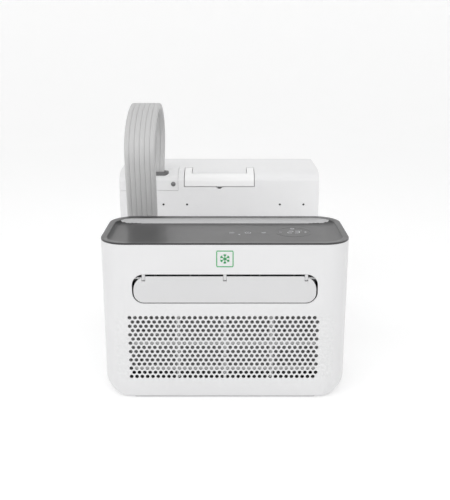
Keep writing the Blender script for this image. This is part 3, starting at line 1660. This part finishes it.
def make_hose_grommet(unit):
    """The rubber ring in the plate's slot."""
    low, high = OUTDOOR_HEIGHT - 26 * MM, OUTDOOR_HEIGHT - 1 * MM
    grommet = slot_prism("hose_grommet", 0.0, low, high)
    room = rounded_outline(
        HOSE_WIDTH + 2 * HOSE_ROOM, HOSE_THICKNESS + 2 * HOSE_ROOM, HOSE_THICKNESS / 2, 5
    )
    middle = (HOSE_LOCAL_X, HOSE_EXIT_Y, (low + high) / 2)
    cut(grommet, outline_plate("grommet_room", room, 4 * (high - low), middle))
    return finish(grommet, unit, rubber())


# ---------------------------------------------------------------- outdoor unit: machinery


def make_partition(unit):
    wall = span(
        "partition",
        (PARTITION_X, OUT_FRONT + 2 * (WALL + GAP), PAN_TOP),
        (PARTITION_X + PARTITION_THICKNESS, OUT_REAR - 2 * WALL, OUTDOOR_HEIGHT - PARTITION_TOP_DROP),
    )
    return finish(wall, unit, steel(), smooth=False)


def make_condenser(unit):
    y = OUT_FRONT + CONDENSER_SETBACK
    left = PARTITION_X + PARTITION_THICKNESS + COIL_SIDE_GAP
    right = OUTDOOR_WIDTH / 2 - WALL - COIL_WALL_GAP
    return make_coil(
        unit,
        "condenser",
        (left, y, PAN_TOP),
        (right, y + COIL_THICKNESS, OUTDOOR_HEIGHT - SHOULDER_RISE - COIL_TOP_DROP),
        CONDENSER_PASSES,
        1,
    )


def fan_motor_front():
    return FAN_Y - FAN_DEPTH / 2 - MOTOR_GAP - FAN_MOTOR_LENGTH


def make_fan_motor(unit):
    front = fan_motor_front()
    motor = cylinder(
        "fan_motor",
        FAN_MOTOR_RADIUS,
        FAN_MOTOR_LENGTH,
        (FAN_X, front + FAN_MOTOR_LENGTH / 2, FAN_Z),
        "Y",
        32,
    )
    end = FAN_Y + FAN_DEPTH / 4
    start = front + FAN_MOTOR_LENGTH / 2
    shaft = cylinder(
        "fan_motor_shaft",
        FAN_SHAFT_RADIUS,
        end - start,
        (FAN_X, (start + end) / 2, FAN_Z),
        "Y",
        16,
    )
    join(motor, shaft)
    return finish(motor, unit, steel())


def make_motor_bracket(unit):
    """The upright strap that carries the fan's motor."""
    rear = fan_motor_front() - GAP
    strap = span(
        "motor_bracket",
        (FAN_X - BRACKET_WIDTH / 2, rear - BRACKET_THICKNESS, PAN_TOP),
        (FAN_X + BRACKET_WIDTH / 2, rear, OUTDOOR_HEIGHT - BRACKET_TOP_DROP),
    )
    return finish(strap, unit, steel(), smooth=False)


def make_condenser_fan(unit):
    """The axial fan: a hub on the motor's shaft and pitched blades."""
    hub = cylinder("condenser_fan", FAN_HUB_RADIUS, FAN_DEPTH, (FAN_X, FAN_Y, FAN_Z), "Y", 32)
    bm = bmesh.new()
    for blade in range(FAN_BLADES):
        made = bmesh.ops.create_cube(bm, size=1.0)
        bmesh.ops.scale(bm, vec=FAN_BLADE, verts=made["verts"])
        pitch = Matrix.Rotation(FAN_PITCH + math.pi / 2, 4, "X")
        move = Matrix.Translation((FAN_RADIUS - FAN_BLADE[0] / 2, 0, 0))
        around = Matrix.Rotation(2 * math.pi * blade / FAN_BLADES, 4, "Y")
        bmesh.ops.transform(bm, matrix=around @ move @ pitch, verts=made["verts"])
    bmesh.ops.translate(bm, vec=(FAN_X, FAN_Y, FAN_Z), verts=bm.verts)
    join(hub, object_of("fan_blades", mesh_of("fan_blades", bm)))
    bore = cylinder(
        "fan_bore",
        FAN_SHAFT_RADIUS + RUNNING,
        FAN_DEPTH,
        (FAN_X, FAN_Y - FAN_DEPTH / 2 + FAN_DEPTH / 4 + 1 * MM, FAN_Z),
        "Y",
        16,
    )
    cut(hub, bore)
    return finish(hub, unit, black_paint())


def make_fan_shroud(unit):
    """The round duct that the fan turns in."""
    rear = OUT_REAR - WALL - GAP
    middle = (FAN_X, rear - SHROUD_DEPTH / 2, FAN_Z)
    inner = FAN_RADIUS + FAN_CLEARANCE
    shroud = cylinder("fan_shroud", inner + SHROUD_WALL, SHROUD_DEPTH, middle, "Y", 48)
    cut(shroud, cylinder("shroud_hollow", inner, 2 * SHROUD_DEPTH, middle, "Y", 48))
    return finish(shroud, unit, inner_plastic())


def compressor_x():
    return (PARTITION_X - OUTDOOR_WIDTH / 2) / 2 + COMPRESSOR_OFFSET


def make_compressor(unit):
    """The sealed compressor: a drum with domed ends."""
    radius, height = COMPRESSOR_RADIUS, COMPRESSOR_HEIGHT
    dome = COMPRESSOR_DOME
    arc = [math.pi / 2 * (1 - i / 4) for i in range(5)]
    top = [(radius * math.cos(a), height - dome + dome * math.sin(a)) for a in arc]
    bottom = [(radius * math.cos(a), dome - dome * math.sin(a)) for a in reversed(arc)]
    profile = [(max(0.0, r), z) for r, z in [*top, *bottom]]
    profile[0] = (0, profile[0][1])
    profile[-1] = (0, profile[-1][1])
    drum = turned(
        "compressor", profile, (compressor_x(), COMPRESSOR_Y, PAN_TOP + COMPRESSOR_LIFT), steps=28
    )
    bm = bmesh.new()
    add_cube(bm, (COMPRESSOR_PLATE, COMPRESSOR_PLATE, COMPRESSOR_PLATE_THICKNESS), (0, 0, 0))
    plate = object_of(
        "compressor_plate",
        mesh_of("compressor_plate", bm),
        (compressor_x(), COMPRESSOR_Y, PAN_TOP + COMPRESSOR_LIFT + COMPRESSOR_PLATE_THICKNESS / 2),
    )
    join(drum, plate)
    return finish(drum, unit, black_paint())


def make_accumulator(unit):
    height, dome = ACCUMULATOR_HEIGHT, ACCUMULATOR_DOME
    arc = [math.pi / 2 * (1 - i / 3) for i in range(4)]
    radius = ACCUMULATOR_RADIUS
    profile = [(radius * math.cos(a), height - dome + dome * math.sin(a)) for a in arc]
    profile += [(radius * math.cos(a), dome - dome * math.sin(a)) for a in reversed(arc)]
    profile[0] = (0, profile[0][1])
    profile[-1] = (0, profile[-1][1])
    drum = turned("accumulator", profile, accumulator_place(), steps=20)
    return finish(drum, unit, black_paint())


def accumulator_place():
    return (PARTITION_X - ACCUMULATOR_RADIUS - ACCUMULATOR_GAP, ACCUMULATOR_Y, PAN_TOP + ACCUMULATOR_LIFT)


def make_discharge_pipe(unit):
    """From the top of the compressor to the condenser's upper tube."""
    x, y = compressor_x(), COMPRESSOR_Y
    top = PAN_TOP + COMPRESSOR_LIFT + COMPRESSOR_HEIGHT
    over = OUTDOOR_HEIGHT - DISCHARGE_DROP
    end = (
        PARTITION_X + PARTITION_THICKNESS + 8 * MM - 6 * MM,
        OUT_FRONT + CONDENSER_SETBACK + COIL_THICKNESS / 2,
        over,
    )
    points = [
        (x, y, top + GAP),
        (x, y, top + 14 * MM),
        (x + 8 * MM, y - 4 * MM, over - 4 * MM),
        (x + 30 * MM, y - 24 * MM, over),
        (end[0] - 14 * MM, end[1], over),
        end,
    ]
    pipe = tube("discharge_pipe", through(points, 4), PIPE_RADIUS)
    return finish(pipe, unit, copper())


def make_suction_pipe(unit):
    """From the accumulator up to the hose."""
    x, y, z = accumulator_place()
    top = z + ACCUMULATOR_HEIGHT
    points = [
        (x, y, top + GAP),
        (x, y, top + 20 * MM),
        (x - 6 * MM, y - 4 * MM, top + 60 * MM),
        (x - 26 * MM, HOSE_EXIT_Y, OUTDOOR_HEIGHT - 70 * MM),
        (x - 30 * MM, HOSE_EXIT_Y, OUTDOOR_HEIGHT - 58 * MM),
    ]
    pipe = tube("suction_pipe", through(points, 4), PIPE_RADIUS)
    return finish(pipe, unit, copper())


def make_control_box(unit):
    """The box of the outdoor unit's electrics, above the compressor."""
    low = (-OUTDOOR_WIDTH / 2 + 12 * MM, OUT_REAR - 48 * MM, OUTDOOR_HEIGHT - 96 * MM)
    high = (PARTITION_X - 14 * MM, OUT_REAR - 14 * MM, OUTDOOR_HEIGHT - 22 * MM)
    case = span("outdoor_control_box", low, high)
    return finish(case, unit, inner_plastic(), smooth=False)


# ---------------------------------------------------------------- hose


def make_flat_hose():
    """The flat hose, standing on edge-to-edge round ribs along X; plain here."""
    x = INDOOR_ORIGIN.x + HOSE_X
    route = [(x, y * MM, z * MM) for y, z in HOSE_ROUTE]
    curve = bpy.data.curves.new("flat_hose", "CURVE")
    curve.dimensions = "3D"
    curve.twist_mode = "MINIMUM"
    curve.extrude = (HOSE_WIDTH - HOSE_THICKNESS) / 2
    curve.bevel_depth = HOSE_THICKNESS / 2
    curve.bevel_resolution = 2
    curve.use_fill_caps = True
    spline = curve.splines.new("POLY")
    points = through(route, 2)
    spline.points.add(len(points) - 1)
    for point, place in zip(spline.points, points):
        point.co = (*place, 1)
        point.tilt = math.pi / 2
    hose = object_of("flat_hose", curve)
    curve.materials.append(hose_rubber())
    return hose


# ---------------------------------------------------------------- the whole


def make_indoor_unit():
    unit = unit_empty("indoor_unit", INDOOR_ORIGIN)
    make_front_casing(unit)
    make_rear_casing(unit)
    make_top_panel(unit)
    make_control_board(unit)
    make_foot_strips(unit)
    make_outlet_frame(unit)
    make_louvre_flap(unit)
    make_flap_motor(unit)
    for number in range(VANE_COUNT):
        make_vane(unit, number)
    make_vane_link(unit)
    make_filter_frame(unit)
    make_filter_mesh(unit)
    make_filter_rail(unit, "filter_rail_lower", FILTER_BASE_Z, -1)
    make_filter_rail(unit, "filter_rail_upper", FILTER_BASE_Z + FILTER_HEIGHT, 1)
    make_evaporator(unit)
    make_drip_tray(unit)
    make_blower_rotor(unit)
    make_end_plate(unit, "blower_plate_left", -1)
    make_end_plate(unit, "blower_plate_right", 1)
    make_shaft_bearing(unit)
    make_blower_motor(unit)
    make_blower_scroll(unit)
    make_outlet_tongue(unit)
    make_hose_cover(unit)
    make_cord_gland(unit)
    make_drain_plug(unit)


def make_outdoor_unit():
    unit = unit_empty("outdoor_unit", OUTDOOR_ORIGIN)
    make_outdoor_casing(unit)
    make_rear_panel(unit)
    make_fan_guard(unit)
    make_base_pan(unit)
    make_feet(unit)
    make_drain_nozzle(unit)
    make_handle_housing(unit)
    make_carry_handle(unit)
    make_handle_pin(unit, "handle_pin_left", -1)
    make_handle_pin(unit, "handle_pin_right", 1)
    make_hose_plate(unit)
    make_plate_screw(unit)
    make_hose_grommet(unit)
    make_partition(unit)
    make_condenser(unit)
    make_fan_motor(unit)
    make_motor_bracket(unit)
    make_condenser_fan(unit)
    make_fan_shroud(unit)
    make_compressor(unit)
    make_accumulator(unit)
    make_discharge_pipe(unit)
    make_suction_pipe(unit)
    make_control_box(unit)


def main():
    clear_scene()
    make_indoor_unit()
    make_outdoor_unit()
    make_flat_hose()


main()
